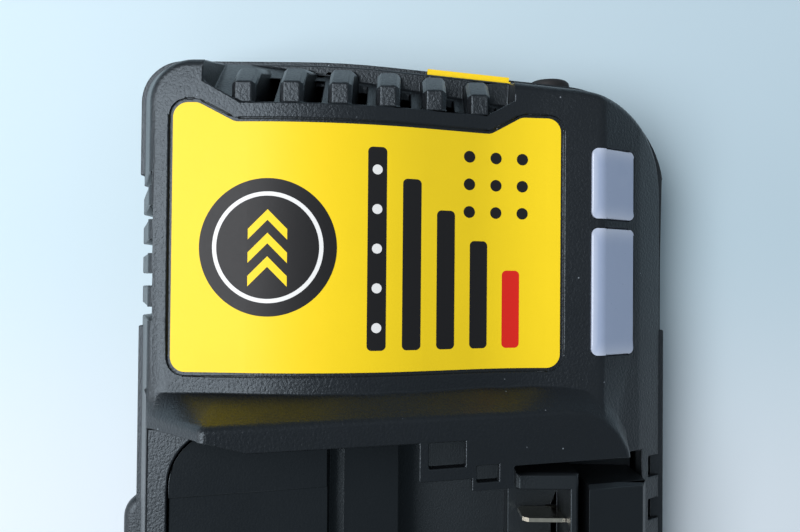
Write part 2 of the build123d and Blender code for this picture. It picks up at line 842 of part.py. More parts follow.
with BuildPart() as bay_liner:
    profile = liner_profile(0)
    with BuildSketch(Plane.YZ.offset(-reach)):
        Polygon(*profile, (profile[-1][0], 0), (profile[0][0], 0), align=None)
    extrude(amount=2 * reach)
    add(bay_plan(-liner_gap))
    liner_block = extrude(amount=shell_top, mode=Mode.PRIVATE)
    add(liner_block, mode=Mode.INTERSECT)
    # hollow from below
    with BuildPart(mode=Mode.PRIVATE) as under:
        lowered = liner_profile(liner_thickness)
        with BuildSketch(Plane.YZ.offset(-reach)):
            Polygon(
                *lowered[:-1],
                (-reach, lowered[-1][1]),
                (-reach, -1),
                (reach, -1),
                (reach, lowered[0][1]),
                align=None,
            )
        extrude(amount=2 * reach)
        add(bay_plan(-liner_gap - liner_thickness))
        inner_block = extrude(amount=shell_top, mode=Mode.PRIVATE)
        add(inner_block, mode=Mode.INTERSECT)
    add(under.part, mode=Mode.SUBTRACT)
    # the liner stops above the base
    Box(2 * reach, 4 * reach, 2 * liner_foot_z, mode=Mode.SUBTRACT)
    # side walls of the well
    well_wall_x = bay_half_width - liner_gap - liner_thickness / 2
    for sign in (1, -1):
        with Locations((bay_middle_x + sign * well_wall_x, well_start_y, well_floor_z)):
            Box(
                liner_thickness,
                well_start_y - bay_nose_y - bay_step_radius,
                well_wall_height,
                align=(Align.CENTER, Align.MAX, Align.MIN),
            )
    # shallow channel along the middle of the tray
    with BuildPart(mode=Mode.PRIVATE) as channel:
        with BuildSketch(Plane.YZ.offset(bay_middle_x - channel_half_width)):
            Polygon(
                (bay_back_y, liner_height + liner_fall * bay_back_y - channel_depth),
                (tray_front_y - 1, liner_height + liner_fall * (tray_front_y - 1) - channel_depth),
                (tray_front_y - 1, shell_top),
                (bay_back_y, shell_top),
                align=None,
            )
        extrude(amount=2 * channel_half_width)
    add(channel.part, mode=Mode.SUBTRACT)
    # stop block at the front end
    stop_front_y = bay_front_y + stop_front_room
    stop_middle_y = (stop_back_y + stop_front_y) / 2
    with BuildPart(mode=Mode.PRIVATE) as stop_block:
        with BuildSketch(Plane.YZ.offset(bay_middle_x - stop_half_width)):
            Polygon(
                (stop_back_y, well_floor_z - 1),
                (stop_back_y, hood_z(stop_back_y) - stop_drop),
                (stop_front_y, hood_z(stop_front_y) - stop_drop),
                (stop_front_y, well_floor_z - 1),
                align=None,
            )
        extrude(amount=2 * stop_half_width)
        top_edges = stop_block.edges().filter_by(lambda edge: edge.center().Z > terminal_floor_z + 1)
        front_edges = top_edges.filter_by(lambda edge: edge.center().Y < stop_back_y - 1)
        level_edges = front_edges.filter_by(lambda edge: abs(edge.tangent_at(0.5).Z) < 0.9)
        chamfer(level_edges, length=stop_bevel)
    add(stop_block.part)
    with Locations((bay_middle_x, stop_middle_y, 0)):
        Box(
            2 * (stop_half_width - liner_thickness),
            stop_back_y - stop_front_y - 2 * liner_thickness,
            2 * (hood_z(stop_front_y) - stop_drop - stop_bevel - liner_thickness),
            mode=Mode.SUBTRACT,
        )
    # sockets for the screws from below
    for x, y in liner_screw_places:
        socket_top = liner_height + liner_fall * y - liner_thickness / 2 if y > well_start_y else well_floor_z
        with Locations((x, y, liner_post_top)):
            Cylinder(
                boss_radius,
                socket_top - liner_post_top,
                align=(Align.CENTER, Align.CENTER, Align.MIN),
            )
            Cylinder(
                pilot_radius,
                liner_screw_length - liner_post_top + liner_head_z + liner_gap,
                align=(Align.CENTER, Align.CENTER, Align.MIN),
                mode=Mode.SUBTRACT,
            )
    # slots for the pins of the contact blades
    for offset in blade_offsets:
        with Locations((bay_middle_x + offset, blade_pin_y, well_floor_z)):
            Box(
                blade_thickness + 2 * fit,
                blade_pin_width + 2 * fit,
                4 * liner_thickness,
                mode=Mode.SUBTRACT,
            )
bay_liner.part.label = "bay_liner"
export_step(bay_liner.part, "parts/bay_liner.step")

# ---- terminal block and its blades
with BuildPart() as terminal_block:
    middle_y = (terminal_back_y + terminal_front_y) / 2
    with Locations((bay_middle_x, middle_y, well_floor_z)):
        Box(
            2 * terminal_half_width,
            terminal_back_y - terminal_front_y,
            terminal_height,
            align=(Align.CENTER, Align.CENTER, Align.MIN),
        )
    rim = terminal_block.edges().group_by(Axis.Z)[-1]
    chamfer(rim, length=terminal_chamfer)
    with Locations((bay_middle_x, terminal_front_y + terminal_wall, terminal_floor_z)):
        Box(
            2 * terminal_cavity_half_width,
            reach,
            reach,
            align=(Align.CENTER, Align.MIN, Align.MIN),
            mode=Mode.SUBTRACT,
        )
    for offset in blade_offsets:
        with Locations((bay_middle_x + offset, blade_pin_y, well_floor_z)):
            Box(
                blade_thickness,
                blade_pin_width,
                2 * (terminal_floor_z - well_floor_z) + 1,
                mode=Mode.SUBTRACT,
            )
terminal_block.part.label = "terminal_block"
export_step(terminal_block.part, "parts/terminal_block.step")


def contact_blades(offsets, length, height):
    """Upright blades with a nose to the back and a pin down to the board."""
    with BuildPart() as blades:
        for offset in offsets:
            with BuildSketch(Plane.YZ.offset(bay_middle_x + offset - blade_thickness / 2)):
                low = terminal_floor_z + liner_gap
                front = terminal_front_y + terminal_wall + fit
                back = front + length
                Polygon(
                    (front, low),
                    (back - blade_nose, low),
                    (back, low + blade_nose),
                    (back, low + height - blade_nose),
                    (back - blade_nose, low + height),
                    (front, low + height),
                    align=None,
                )
                with Locations((blade_pin_y, low + blade_thickness)):
                    Rectangle(
                        blade_pin_width,
                        low + blade_thickness - blade_pin_bottom,
                        align=(Align.CENTER, Align.MAX),
                    )
            extrude(amount=blade_thickness)
    return blades.part


power_blades = contact_blades(blade_offsets[:2], power_blade_length, blade_height)
power_blades.label = "power_blades"
export_step(power_blades, "parts/power_blades.step")
signal_blades = contact_blades(blade_offsets[2:], signal_blade_length, blade_height)
signal_blades.label = "signal_blades"
export_step(signal_blades, "parts/signal_blades.step")

# ---- labels
with BuildPart() as top_label:
    add(label_outline())
    extrude(amount=shell_top)
    add(cover_layer(label_recess - label_thickness, label_recess), mode=Mode.INTERSECT)
top_label.part.label = "top_label"
export_step(top_label.part, "parts/top_label.step")

with BuildPart() as side_label:
    across = Vector(1, -side_splay, 0).normalized()
    along = Vector(side_splay, 1, 0).normalized()
    foot = side_x(side_label_front_y) + label_gap
    strip_plane = Plane(origin=(foot, side_label_front_y, 0), x_dir=across, z_dir=along)
    low, high = parting_height + label_gap, parting_height + side_label_rise
    with BuildSketch(strip_plane):
        Polygon(
            (-right_lean * side_label_rise, -high),
            (0, -low),
            (rim_width, -low),
            (rim_width - base_lean * side_label_drop, -low + side_label_drop),
            (rim_width - base_lean * side_label_drop + label_thickness, -low + side_label_drop),
            (rim_width + label_thickness, -low - label_thickness),
            (label_thickness, -low - label_thickness),
            (label_thickness - right_lean * side_label_rise, -high),
            align=None,
        )
    extrude(amount=side_label_length)
side_label.part.label = "side_label"
export_step(side_label.part, "parts/side_label.step")

# ---- status windows, each with stems that bring the light up from the board
def light_guide(span, stem_places):
    with BuildPart() as guide:
        add(window_outline(span, window_clearance))
        extrude(amount=shell_top)
        add(cover_layer(-window_proud, wall), mode=Mode.INTERSECT)
        for x in stem_places:
            with BuildPart(mode=Mode.PRIVATE) as stem:
                with Locations((x, light_y, light_height)):
                    Cylinder(stem_radius, reach, align=(Align.CENTER, Align.CENTER, Align.MIN))
                add(cover_prism(wall / 2), mode=Mode.INTERSECT)
            add(stem.part)
    return guide.part


light_guide_large = light_guide(large_window_x, large_light_x)
light_guide_large.label = "light_guide_large"
export_step(light_guide_large, "parts/light_guide_large.step")
light_guide_small = light_guide(small_window_x, small_light_x)
light_guide_small.label = "light_guide_small"
export_step(light_guide_small, "parts/light_guide_small.step")

# ---- cord gland
with BuildPart() as cord_gland:
    with BuildSketch(gland_plane().offset(gland_proud)):
        Circle(gland_flange_radius)
    extrude(amount=-gland_flange_thickness)
    with BuildSketch(gland_plane().offset(gland_proud)):
        Circle(gland_radius - fit)
    extrude(amount=-gland_length)
    with BuildSketch(gland_plane().offset(gland_proud - gland_length)):
        Circle(gland_flange_radius)
    extrude(amount=gland_retainer_thickness)
    outer_rim = cord_gland.edges().group_by(Axis.X)[-1]
    fillet(outer_rim, radius=gland_edge_radius)
    with Locations(gland_plane()):
        Cylinder(gland_bore_radius, 40, mode=Mode.SUBTRACT)
cord_gland.part.label = "cord_gland"
export_step(cord_gland.part, "parts/cord_gland.step")

# ---- feet
with BuildPart() as rubber_feet:
    for x, y in foot_places:
        with Locations((x, y, 0)):
            Cylinder(foot_radius, foot_height + foot_recess, align=(Align.CENTER, Align.CENTER, Align.MIN))
    soles = rubber_feet.edges().group_by(Axis.Z)[0]
    fillet(soles, radius=0.8)
rubber_feet.part.label = "rubber_feet"
export_step(rubber_feet.part, "parts/rubber_feet.step")

# ---- circuit board
board_top = board_height + board_thickness
with BuildPart() as circuit_board:
    with BuildSketch(Plane.XY.offset(board_height)):
        Polygon(
            (board_step_x, board_back_y),
            (board_right_x, board_back_y),
            (board_right_x, board_front_y),
            (board_left_x, board_front_y),
            (board_left_x, board_step_y),
            (board_step_x, board_step_y),
            align=None,
        )
    extrude(amount=board_thickness)
    for x, y in board_screw_places:
        with Locations((x, y, board_height)):
            Cylinder(screw_radius + fit, reach, mode=Mode.SUBTRACT)
    for offset in blade_offsets:
        with Locations((bay_middle_x + offset, blade_pin_y, board_height)):
            Box(blade_thickness + 2 * fit, blade_pin_width + 2 * fit, reach, mode=Mode.SUBTRACT)
circuit_board.part.label = "circuit_board"
export_step(circuit_board.part, "parts/circuit_board.step")


def upright_cans(places, radius, height):
    """Capacitor cans that stand on the board."""
    with BuildPart() as cans:
        for x, y in places:
            with Locations((x, y, board_top)):
                Cylinder(radius, height, align=(Align.CENTER, Align.CENTER, Align.MIN))
        fillet(cans.edges().group_by(Axis.Z)[-1], radius=0.6)
    return cans.part


mains_capacitor = upright_cans([(21.0, -14.6)], 9.0, 26.0)
mains_capacitor.label = "mains_capacitor"
export_step(mains_capacitor, "parts/mains_capacitor.step")
output_capacitors = upright_cans([(44.0, -13.6), (44.0, -26.6)], 5.0, 20.0)
output_capacitors.label = "output_capacitors"
export_step(output_capacitors, "parts/output_capacitors.step")

# ---- transformer: a core of two windows with the winding round its middle leg
core_x, core_y = 35.0, 24.4
core_width, core_depth, core_height = 42.0, 14.0, 34.0
leg_width, window_height = 12.0, 22.0
with BuildPart() as transformer_core:
    with Locations((core_x, core_y, board_top)):
        Box(core_width, core_depth, core_height, align=(Align.CENTER, Align.CENTER, Align.MIN))
    window_width = (core_width - 2 * leg_width) / 2
    for sign in (1, -1):
        with Locations((core_x + sign * (leg_width + window_width) / 2, core_y, board_top + core_height / 2)):
            Box(window_width, core_depth, window_height, mode=Mode.SUBTRACT)
transformer_core.part.label = "transformer_core"
export_step(transformer_core.part, "parts/transformer_core.step")

with BuildPart() as transformer_winding:
    with Locations((core_x, core_y, board_top + core_height / 2)):
        Box(leg_width + 2 * window_width - 2 * fit, core_depth + 2 * window_width, window_height - 2 * fit)
        fillet(transformer_winding.edges().filter_by(Axis.Z), radius=4)
        Box(leg_width + 2 * fit, core_depth + 2 * fit, window_height, mode=Mode.SUBTRACT)
transformer_winding.part.label = "transformer_winding"
export_step(transformer_winding.part, "parts/transformer_winding.step")


# ---- heat sinks with a transistor clamped to the left of each
sink_plate, sink_foot, sink_length = 2.0, 6.0, 34.0
primary_sink_place, output_sink_place = (9.0, 20.4), (60.0, 8.4)
transistor_thickness, transistor_width, transistor_height = 4.5, 10.0, 15.0


def heat_sink(place, height):
    """An upright plate with a foot on the board."""
    with BuildPart() as sink:
        with Locations((*place, board_top)):
            Box(sink_plate, sink_length, height, align=(Align.CENTER, Align.CENTER, Align.MIN))
            Box(sink_foot, sink_length, sink_plate, align=(Align.CENTER, Align.CENTER, Align.MIN))
    return sink.part


heat_sink_primary = heat_sink(primary_sink_place, 30.0)
heat_sink_primary.label = "heat_sink_primary"
export_step(heat_sink_primary, "parts/heat_sink_primary.step")
heat_sink_output = heat_sink(output_sink_place, 26.0)
heat_sink_output.label = "heat_sink_output"
export_step(heat_sink_output, "parts/heat_sink_output.step")

with BuildPart() as power_transistors:
    for x, y in (primary_sink_place, output_sink_place):
        with Locations((x - sink_plate / 2, y, board_top + transistor_height)):
            Box(
                transistor_thickness,
                transistor_width,
                transistor_height,
                align=(Align.MAX, Align.CENTER, Align.CENTER),
            )
power_transistors.part.label = "power_transistors"
export_step(power_transistors.part, "parts/power_transistors.step")

with BuildPart() as line_choke:
    with Locations(Location((22.0, -37.6, board_top + 9.0), (90, 0, 0))):
        Torus(6.0, 3.0)
line_choke.part.label = "line_choke"
export_step(line_choke.part, "parts/line_choke.step")

with BuildPart() as fuse:
    with Locations(Location((46.0, -39.6, board_top + 2.6), (0, 90, 0))):
        Cylinder(2.6, 20.0)
fuse.part.label = "fuse"
export_step(fuse.part, "parts/fuse.step")

with BuildPart() as rectifier:
    with Locations((34.0, -34.6, board_top)):
        Box(4.0, 15.0, 12.0, align=(Align.CENTER, Align.CENTER, Align.MIN))
rectifier.part.label = "rectifier"
export_step(rectifier.part, "parts/rectifier.step")

with BuildPart() as status_leds:
    for x in large_light_x + small_light_x:
        with Locations((x, light_y, board_top)):
            Cylinder(
                stem_radius,
                light_height - board_top - light_gap,
                align=(Align.CENTER, Align.CENTER, Align.MIN),
            )
status_leds.part.label = "status_leds"
export_step(status_leds.part, "parts/status_leds.step")

# ---- clamp that grips the cord behind its gland
with BuildPart() as cord_clamp:
    with Locations((clamp_x, gland_y, gland_z)):
        Box(clamp_width, clamp_length, clamp_height, align=(Align.CENTER, Align.CENTER, Align.MIN))
        with Locations(Location((0, 0, 0), (0, 90, 0))):
            Cylinder(gland_bore_radius, 2 * clamp_width, mode=Mode.SUBTRACT)
    for sign in (1, -1):
        with Locations((clamp_x, gland_y + sign * clamp_screw_reach, gland_z)):
            Cylinder(screw_radius + fit, 4 * clamp_height, mode=Mode.SUBTRACT)
cord_clamp.part.label = "cord_clamp"
export_step(cord_clamp.part, "parts/cord_clamp.step")


def screws(places, head_z, length, sign):
    """Pan-head screws; the sign says which way the shank points from the head."""
    with BuildPart() as set_of_screws:
        for x, y in places:
            with Locations((x, y, head_z - sign * screw_head_height / 2)):
                Cylinder(screw_head_radius, screw_head_height)
            with Locations((x, y, head_z + sign * length / 2)):
                Cylinder(screw_radius, length)
            with Locations((x, y, head_z - sign * screw_head_height)):
                Box(screw_cross_length, screw_cross_width, 2 * screw_cross_depth, mode=Mode.SUBTRACT)
                Box(screw_cross_width, screw_cross_length, 2 * screw_cross_depth, mode=Mode.SUBTRACT)
    return set_of_screws.part


housing_screws = screws(housing_screw_places, housing_head_z, housing_screw_length, 1)
housing_screws.label = "housing_screws"
export_step(housing_screws, "parts/housing_screws.step")
liner_screws = screws(liner_screw_places, liner_head_z, liner_screw_length, 1)
liner_screws.label = "liner_screws"
export_step(liner_screws, "parts/liner_screws.step")
board_screws = screws(board_screw_places, board_top, board_screw_length, -1)
board_screws.label = "board_screws"
export_step(board_screws, "parts/board_screws.step")
clamp_screw_places = [(clamp_x, gland_y + clamp_screw_reach), (clamp_x, gland_y - clamp_screw_reach)]
cord_clamp_screws = screws(clamp_screw_places, gland_z + clamp_height, clamp_screw_length, -1)
cord_clamp_screws.label = "cord_clamp_screws"
export_step(cord_clamp_screws, "parts/cord_clamp_screws.step")
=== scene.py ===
from math import radians

import bmesh
import bpy
from mathutils import Matrix, Vector


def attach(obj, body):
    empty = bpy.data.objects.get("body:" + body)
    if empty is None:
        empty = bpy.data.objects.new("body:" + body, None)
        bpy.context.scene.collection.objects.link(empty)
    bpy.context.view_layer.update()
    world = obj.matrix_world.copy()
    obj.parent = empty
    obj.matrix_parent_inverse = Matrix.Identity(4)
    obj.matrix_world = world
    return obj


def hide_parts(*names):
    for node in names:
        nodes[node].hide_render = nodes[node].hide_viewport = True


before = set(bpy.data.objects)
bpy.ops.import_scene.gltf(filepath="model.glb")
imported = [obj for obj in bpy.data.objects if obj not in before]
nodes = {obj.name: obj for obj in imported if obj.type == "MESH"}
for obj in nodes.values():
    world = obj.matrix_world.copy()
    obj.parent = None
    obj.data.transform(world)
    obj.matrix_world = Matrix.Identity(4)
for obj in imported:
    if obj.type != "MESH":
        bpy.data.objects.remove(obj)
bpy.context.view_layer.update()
perMetre = 1000.0  # millimetres in a metre
print("frame loaded:", len(nodes), "nodes")


# a shader socket that takes part in sums
class Sock:
    def __init__(self, tree, out):
        self.tree = tree
        self.out = out

    def math(self, operation, *others, clamp=False):
        node = self.tree.nodes.new("ShaderNodeMath")
        node.operation = operation
        node.use_clamp = clamp
        for slot, value in zip(node.inputs, (self, *others)):
            plug(self.tree, slot, value)
        return Sock(self.tree, node.outputs[0])

    def __add__(self, other):
        return self.math("ADD", other)

    def __sub__(self, other):
        return self.math("SUBTRACT", other)

    def __mul__(self, other):
        return self.math("MULTIPLY", other)

    def __truediv__(self, other):
        return self.math("DIVIDE", other)

    def __radd__(self, other):
        return self.math("ADD", other)

    def __rmul__(self, other):
        return self.math("MULTIPLY", other)

    def __rsub__(self, other):
        return self.math("MULTIPLY", -1.0).math("ADD", other)

    def abs(self):
        return self.math("ABSOLUTE")

    def atLeast(self, other):
        return self.math("MAXIMUM", other)

    def atMost(self, other):
        return self.math("MINIMUM", other)

    def root(self):
        return self.math("SQRT")

    def scaled(self, factor, extra=0.0):  # held between 0 and 1
        if extra:
            return (self * factor).math("ADD", extra, clamp=True)
        return self.math("MULTIPLY", factor, clamp=True)


def plug(tree, slot, value):
    if isinstance(value, Sock):
        tree.links.new(value.out, slot)
    elif isinstance(value, (tuple, list)) and len(slot.default_value) == 4 and len(value) == 3:
        slot.default_value = (*value, 1.0)
    else:
        slot.default_value = value


# a material with one Principled surface, and one way to add any other node
class Shader:
    def __init__(self, name):
        self.material = bpy.data.materials.new(name)
        self.material.use_nodes = True
        self.tree = self.material.node_tree
        self.tree.nodes.clear()
        self.output = self.tree.nodes.new("ShaderNodeOutputMaterial")
        self.surface = self.tree.nodes.new("ShaderNodeBsdfPrincipled")
        self.tree.links.new(self.surface.outputs[0], self.output.inputs["Surface"])
        place = self.tree.nodes.new("ShaderNodeTexCoord")
        self.place = Sock(self.tree, place.outputs["Object"])

    def node(self, kind, settings=None, inputs=None, output=0):
        made = self.tree.nodes.new(kind)
        for key, value in (settings or {}).items():
            setattr(made, key, value)
        for key, value in (inputs or {}).items():
            plug(self.tree, made.inputs[key], value)
        return Sock(self.tree, made.outputs[output])

    def axes(self):
        split = self.tree.nodes.new("ShaderNodeSeparateXYZ")
        self.tree.links.new(self.place.out, split.inputs[0])
        return [Sock(self.tree, out) for out in split.outputs]

    def noise(self, scale, detail=2.0, rough=0.5):
        inputs = {"Vector": self.place, "Scale": scale, "Detail": detail, "Roughness": rough}
        return self.node("ShaderNodeTexNoise", {}, inputs)

    def blend(self, factor, first, second):
        # on a colour mix, sockets 6 and 7 take the colours and output 2 gives the result
        inputs = {0: factor, 6: first, 7: second}
        return self.node("ShaderNodeMix", {"data_type": "RGBA"}, inputs, 2)

    def bump(self, height, distance):
        return self.node("ShaderNodeBump", {}, {"Height": height, "Distance": distance, "Strength": 1.0})

    def set(self, **values):
        names = {"colour": "Base Color", "rough": "Roughness", "metal": "Metallic", "normal": "Normal",
                 "specular": "Specular IOR Level", "sheen": "Specular Tint"}
        for key, value in values.items():
            plug(self.tree, self.surface.inputs[names[key]], value)
        return self.material


def scaledColour(colour, factor):
    return [min(1.0, part * factor) for part in colour]


def around(height, spread):
    return (height - 0.5) * spread


# specks of dust: small round spots in some of the cells
dust = {"scale": 420.0, "radius": 0.09, "edge": 40.0, "pickEdge": 50.0, "cover": 0.7}
spark = {"broad": 60.0, "dark": 0.75, "pale": 1.35, "fineRough": 0.18, "broadRough": 0.08}


def sparkPlastic(name, look):
    shader = Shader(name)
    fine = shader.noise(look["grain"], 2.0, 0.6)
    broad = shader.noise(spark["broad"])
    dark, pale = (scaledColour(look["colour"], spark[key]) for key in ("dark", "pale"))
    tone = shader.blend(broad * 0.5 + fine * 0.35, dark, pale)
    cells = {"Vector": shader.place, "Scale": dust["scale"]}
    distance = shader.node("ShaderNodeTexVoronoi", {}, cells, "Distance")
    pick = shader.node("ShaderNodeTexVoronoi", {}, cells, "Color")
    chosen = (pick - (1.0 - look["dust"])).scaled(dust["pickEdge"])
    speck = ((dust["radius"] - distance) * dust["edge"]).scaled(1.0)
    tone = shader.blend(chosen * speck * dust["cover"], tone, look["dustColour"])
    rough = look["rough"] + around(fine, spark["fineRough"]) + around(broad, spark["broadRough"])
    return shader.set(colour=tone, rough=rough, specular=look["specular"], sheen=look["sheen"],
                      normal=shader.bump(fine, look["depth"]))


plain = {"broad": 90.0, "detail": 3.0, "fine": 900.0, "dark": 0.85, "pale": 1.12, "roughSpread": 0.1,
         "depth": 0.00001}


def plainPlastic(name, colour, rough):
    shader = Shader(name)
    broad = shader.noise(plain["broad"], plain["detail"])
    fine = shader.noise(plain["fine"], 1.0)
    tone = shader.blend(broad, scaledColour(colour, plain["dark"]), scaledColour(colour, plain["pale"]))
    return shader.set(colour=tone, rough=rough + around(fine, plain["roughSpread"]),
                      normal=shader.bump(fine, plain["depth"]))


streaks = {"scale": 700.0, "dark": 0.8, "roughSpread": 0.2}


def metal(name, colour, rough):
    shader = Shader(name)
    streak = shader.noise(streaks["scale"])
    tone = shader.blend(streak, scaledColour(colour, streaks["dark"]), colour)
    return shader.set(colour=tone, metal=1.0, rough=rough + around(streak, streaks["roughSpread"]))


housing = {"colour": (0.0055, 0.0064, 0.0078), "rough": 0.38, "grain": 1500.0, "depth": 0.00014,
           "specular": 0.62, "sheen": (0.78, 0.91, 1.0), "dust": 0.2, "dustColour": (0.32, 0.36, 0.4)}
lining = {"colour": (0.0045, 0.0052, 0.0062), "rough": 0.4, "grain": 2000.0, "depth": 0.00005,
          "specular": 0.6, "sheen": (0.76, 0.91, 1.0), "dust": 0.06, "dustColour": (0.2, 0.22, 0.25)}
shellBlack = sparkPlastic("housingBlack", housing)
linerBlack = sparkPlastic("linerBlack", lining)


# flat marks of the label, each a distance in millimetres that is below nought inside it
class Marks:
    def __init__(self, along, across):
        self.along = along
        self.across = across

    def at(self, place):
        return self.along - place[0], self.across - place[1]

    def rounded(self, place, size, radius):
        x, y = self.at(place)
        dx = x.abs() - (size[0] / 2 - radius)
        dy = y.abs() - (size[1] / 2 - radius)
        outX = dx.atLeast(0.0)
        outY = dy.atLeast(0.0)
        return (outX * outX + outY * outY).root() + dx.atLeast(dy).atMost(0.0) - radius

    def disc(self, place, radius):
        x, y = self.at(place)
        return (x * x + y * y).root() - radius

    def chevron(self, place, size):
        x, y = self.at(place)
        wing = y.abs()
        return ((x + wing).abs() - size[1] / 2).atLeast(wing - size[0] / 2)


def outline(distance, width):
    return distance.abs() - width / 2


def either(distances):
    joined = distances[0]
    for distance in distances[1:]:
        joined = joined.atMost(distance)
    return joined


def inked(distance):
    return (distance / -printing["softness"]).math("ADD", 0.5, clamp=True)


printing = {
    "yellow": (0.98, 0.70, 0.014), "black": (0.012, 0.012, 0.013), "white": (0.85, 0.85, 0.83),
    "red": (0.72, 0.02, 0.012), "worn": 0.92, "rough": 0.4, "roughSpread": 0.08, "specular": 0.25,
    "tone": 160.0, "speck": 1500.0, "depth": 0.000006, "softness": 0.05,
    "round": (37.2, 30.0), "roundRadius": 16.5, "ringRadius": 12.8, "ringLine": 1.0,
    "chevronTips": [33.8, 39.4, 45.0], "chevronSize": (9.4, 2.5),
    "slatStart": 12.5, "slatWidth": 4.6, "slatCorner": 1.2,
    "slats": [(4.0, 49.4), (-4.5, 42.0), (-13.0, 34.6), (-21.5, 27.2)], "redSlat": (-30.0, 19.8),
    "beads": [18.0, 27.6, 37.2, 46.8, 56.4], "beadY": 4.0, "beadRadius": 1.2,
    "dotsAlong": [47.0, 54.0, 61.0], "dotsAcross": [-19.0, -26.0, -33.0], "dotRadius": 1.5,
}


def slatMark(marks, across, length):
    place = (printing["slatStart"] + length / 2, across)
    return marks.rounded(place, (length, printing["slatWidth"]), printing["slatCorner"])


def labelPaint():
    shader = Shader("labelYellow")
    x, y, z = shader.axes()
    marks = Marks(x * perMetre, y * perMetre)
    p = printing
    black = [marks.disc(p["round"], p["roundRadius"])]
    black += [slatMark(marks, across, length) for across, length in p["slats"]]
    black += [marks.disc((along, across), p["dotRadius"])
              for along in p["dotsAlong"] for across in p["dotsAcross"]]
    yellow = [marks.chevron((tip, p["round"][1]), p["chevronSize"]) for tip in p["chevronTips"]]
    white = [outline(marks.disc(p["round"], p["ringRadius"]), p["ringLine"])]
    white += [marks.disc((along, p["beadY"]), p["beadRadius"]) for along in p["beads"]]
    red = slatMark(marks, *p["redSlat"])

    tone = shader.noise(p["tone"], 3.0)
    speck = shader.noise(p["speck"], 1.0)
    paper = shader.blend(tone * 0.5, p["yellow"], scaledColour(p["yellow"], p["worn"]))
    colour = shader.blend(inked(either(black)), paper, p["black"])
    colour = shader.blend(inked(either(yellow)), colour, p["yellow"])
    colour = shader.blend(inked(either(white)), colour, p["white"])
    colour = shader.blend(inked(red), colour, p["red"])
    return shader.set(colour=colour, rough=p["rough"] + around(speck, p["roughSpread"]),
                      specular=p["specular"], normal=shader.bump(speck, p["depth"]))


labelYellow = labelPaint()


# milky windows with a painted highlight, lighter towards the ends and along the bend ("light" is the colour
# of that painted highlight); places in millimetres
windows = {
    "colour": (0.345, 0.42, 0.575), "light": (0.56, 0.62, 0.74), "rough": 0.3,
    "largeSpan": (10.5, 43.6), "smallSpan": (46.0, 64.4), "endLength": 5.0, "endHighlightStrength": 0.8,
    "paintedBendHighlight": -51.6, "bendWidth": 1.5, "bendHighlightStrength": 0.8, "cloud": 220.0, "cloudSpread": 0.2,
}


def windowPaint(name, span):
    shader = Shader(name)
    x, y, z = shader.axes()
    w = windows
    fromMiddle = (x * perMetre - sum(span) / 2).abs()
    fromEnd = fromMiddle - (span[1] - span[0]) / 2 + w["endLength"]
    # painted highlight towards the window ends
    paintedEndHighlight = (fromEnd / w["endLength"]).scaled(1.0)
    # painted highlight along the bend
    paintedBendHighlight = (1.0 - (y * perMetre - w["paintedBendHighlight"]).abs() / w["bendWidth"]).scaled(w["bendHighlightStrength"])
    cloud = shader.noise(w["cloud"])
    # the painted highlights plus a random cloudy tone
    paintedHighlightAndCloud = (paintedEndHighlight * paintedEndHighlight * w["endHighlightStrength"]).atLeast(paintedBendHighlight) + around(cloud, w["cloudSpread"])
    fine = shader.noise(plain["fine"], 1.0)
    return shader.set(colour=shader.blend(paintedHighlightAndCloud, w["colour"], w["light"]),
                      rough=w["rough"] + around(fine, plain["roughSpread"]),
                      normal=shader.bump(fine, plain["depth"]))


windowLarge = windowPaint("windowLarge", windows["largeSpan"])
windowSmall = windowPaint("windowSmall", windows["smallSpan"])
lightClear = plainPlastic("lightClear", (0.75, 0.75, 0.7), 0.3)
contactMetal = metal("contactMetal", (0.8, 0.75, 0.62), 0.22)
rubberBlack = plainPlastic("rubberBlack", (0.012, 0.012, 0.013), 0.7)
boardGreen = plainPlastic("boardGreen", (0.02, 0.12, 0.05), 0.35)
partBlack = plainPlastic("partBlack", (0.02, 0.02, 0.022), 0.45)
partMetal = metal("partMetal", (0.7, 0.71, 0.73), 0.35)
partAmber = plainPlastic("partAmber", (0.7, 0.42, 0.05), 0.3)
finishes = {
    "upper_housing": shellBlack, "lower_housing": shellBlack, "bay_liner": linerBlack,
    "terminal_block": linerBlack, "power_blades": contactMetal, "signal_blades": contactMetal,
    "top_label": labelYellow, "side_label": labelYellow, "light_guide_large": windowLarge,
    "light_guide_small": windowSmall, "cord_gland": rubberBlack, "rubber_feet": rubberBlack,
    "circuit_board": boardGreen, "status_leds": lightClear, "transformer_core": partBlack,
    "transformer_winding": partAmber, "mains_capacitor": partBlack, "output_capacitors": partBlack,
    "heat_sink_primary": partMetal, "heat_sink_output": partMetal, "power_transistors": partBlack,
    "line_choke": partBlack, "fuse": partBlack, "rectifier": partBlack, "cord_clamp": partBlack,
    "cord_clamp_screws": partMetal, "board_screws": partMetal, "housing_screws": partMetal,
    "liner_screws": partMetal,
}
for name, finish in finishes.items():
    nodes[name].data.materials.clear()
    nodes[name].data.materials.append(finish)
print("finishes on:", len(finishes))


# moulded edges: a merged copy of each shell whose long sharp edges are rounded
edges = {
    "upper_housing": {"radius": 0.00045, "slot": "housing_black"},
    "lower_housing": {"radius": 0.0004, "slot": "housing_black"},
    "bay_liner": {"radius": 0.00025, "slot": "liner_black"},
    "terminal_block": {"radius": 0.0004, "slot": "terminal_black"},
    "light_guide_large": {"radius": 0.0005, "slot": "window_milky"},
    "light_guide_small": {"radius": 0.0005, "slot": "window_milky"},
}
edgeAngle, smoothAngle = 40.0, 32.0  # degrees
shortest, mergeWithin = 0.0009, 0.000002


